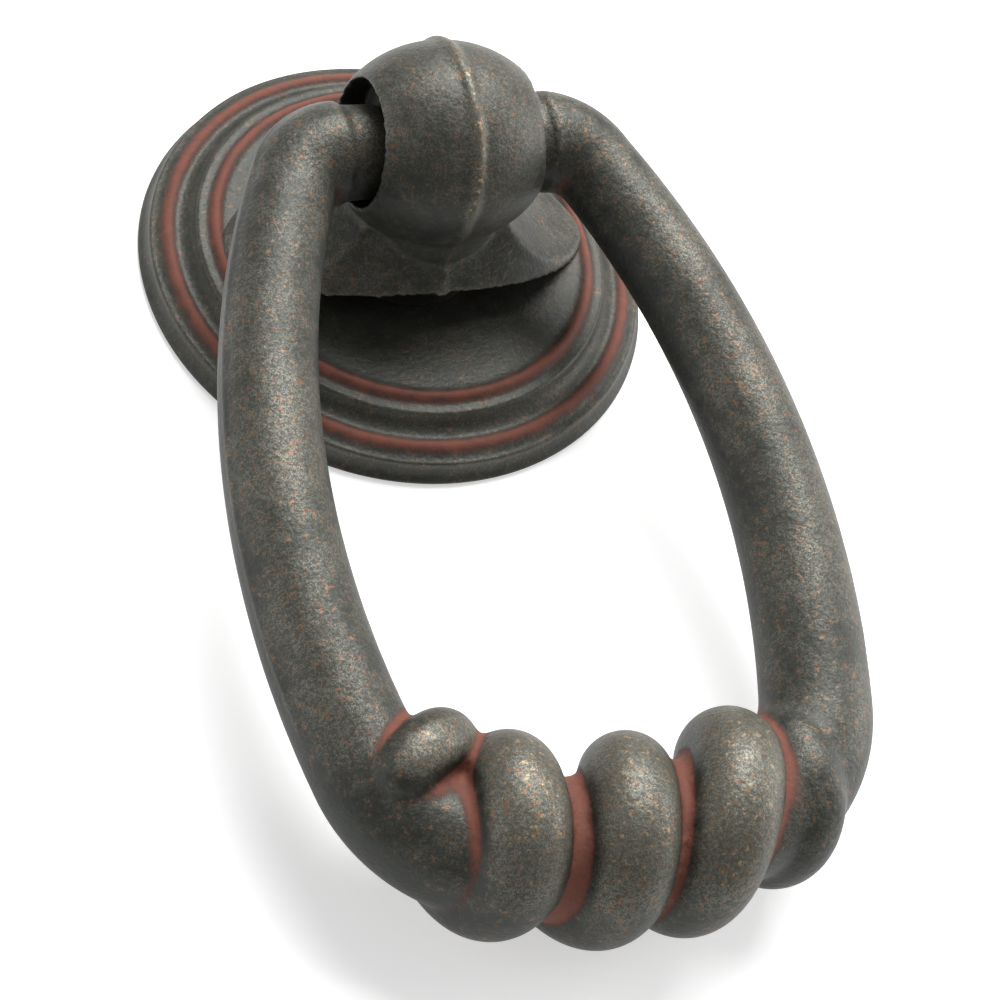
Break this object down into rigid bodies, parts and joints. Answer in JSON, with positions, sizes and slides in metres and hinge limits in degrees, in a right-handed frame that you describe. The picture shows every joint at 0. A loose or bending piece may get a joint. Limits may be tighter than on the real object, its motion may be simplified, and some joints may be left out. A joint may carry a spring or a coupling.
{
  "type": "ring pull handle",
  "caption": "Cast metal ring pull: a round stepped rosette, a ball-headed post and a swinging ring with a rope-twist grip.",
  "frame": {"origin": "centre of the rosette's flat back, on the axis of the post's tapped hole", "axes": "+Z out of the drawer front along the post, X along the ring's hinge, the ring lies towards -Y"},
  "size_m": [0.042, 0.0762, 0.0221],
  "materials": {
    "rosette_metal": "dark oiled patina, matte to satin, brick red in the grooves",
    "post_metal": "dark oiled patina, matte to satin, rubbed bright on the ridge",
    "ring_metal": "dark oiled patina, matte to satin, rubbed bright on the crowns, brick red between the coils"
  },
  "bodies": {
    "mount": {"rosette": "rosette_metal", "post": "post_metal"},
    "ring": {"ring": "ring_metal"}
  },
  "joints": [
    {"name": "ring_swing", "type": "hinge", "parent": "mount", "child": "ring", "pos_m": [0, 0, 0.0142], "axis": [-1, 0, 0], "range_deg": [0, 196.3]}
  ]
}
